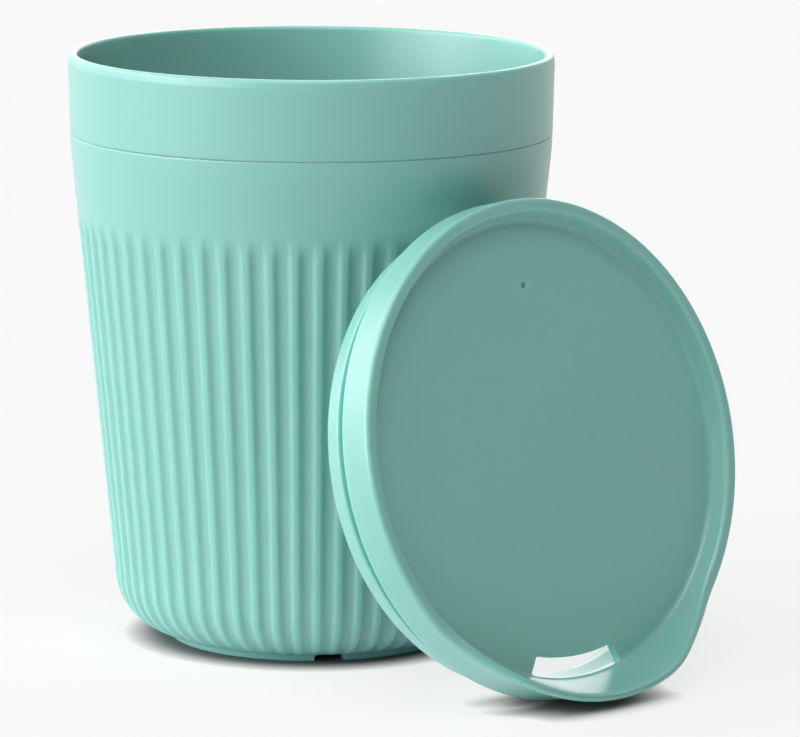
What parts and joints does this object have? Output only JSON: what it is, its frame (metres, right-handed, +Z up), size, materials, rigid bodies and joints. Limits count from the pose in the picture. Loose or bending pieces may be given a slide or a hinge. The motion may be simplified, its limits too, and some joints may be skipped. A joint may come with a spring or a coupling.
{
  "type": "insulated travel cup with sip lid",
  "caption": "Tapered double-walled plastic cup with a fluted outer sleeve, a plain rim band and a separate press-on sip lid with a raised spout, shown taken off and leaning on the cup.",
  "frame": {"origin": "centre of the cup's foot, on the surface that the cup stands on", "axes": "+Z up along the cup's axis; the taken-off lid leans against the cup on its -Y side, its top facing -Y; +X to the right when looking at the lid's top"},
  "size_m": [0.0933, 0.1332, 0.1124],
  "materials": {
    "cup_plastic": "satin",
    "sleeve_plastic": "satin",
    "lid_plastic": "satin"
  },
  "bodies": {
    "cup": {"inner_cup": "cup_plastic", "outer_sleeve": "sleeve_plastic"},
    "lid": {"lid": "lid_plastic"}
  },
  "joints": [
    {"name": "lid_lift", "type": "slide", "parent": "cup", "child": "lid", "axis": [0, -0.9703, 0.2419], "range_m": [0, 0.06]}
  ]
}
